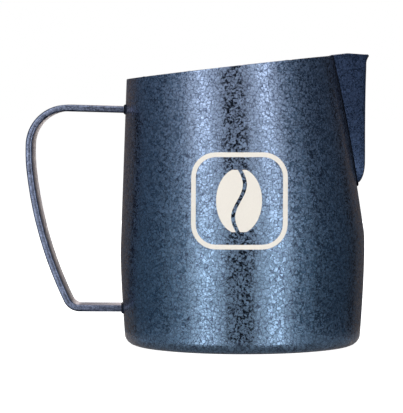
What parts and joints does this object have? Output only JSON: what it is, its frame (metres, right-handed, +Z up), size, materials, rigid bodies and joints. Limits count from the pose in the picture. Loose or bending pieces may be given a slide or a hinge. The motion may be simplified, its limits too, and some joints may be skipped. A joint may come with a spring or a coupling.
{
  "type": "milk frothing pitcher",
  "caption": "Steel milk frothing pitcher: a round leaning cup with a slanted rim, a narrow folded spout and an open flat strap handle.",
  "frame": {"origin": "centre of the foot ring on the surface that the pitcher stands on", "axes": "+Z up, +X towards the pouring spout, the handle on the -X side, +Y to the left when looking along +X"},
  "size_m": [0.1293, 0.0922, 0.1094],
  "materials": {
    "cup_coat": "metallic dark blue crackle coat on stainless steel, satin",
    "spout_coat": "the same metallic dark blue crackle coat, satin",
    "handle_coat": "metallic blue-grey coat, satin, with darker rounded edges",
    "seam_coat": "the same coat over weld beads, almost black",
    "bare_steel": null
  },
  "bodies": {
    "root": {"body_shell": "cup_coat", "pouring_spout": "spout_coat", "spout_weld_left": "seam_coat", "spout_weld_right": "seam_coat", "handle_strap": "handle_coat", "upper_handle_weld": "seam_coat", "lower_handle_weld": "seam_coat"}
  },
  "joints": []
}
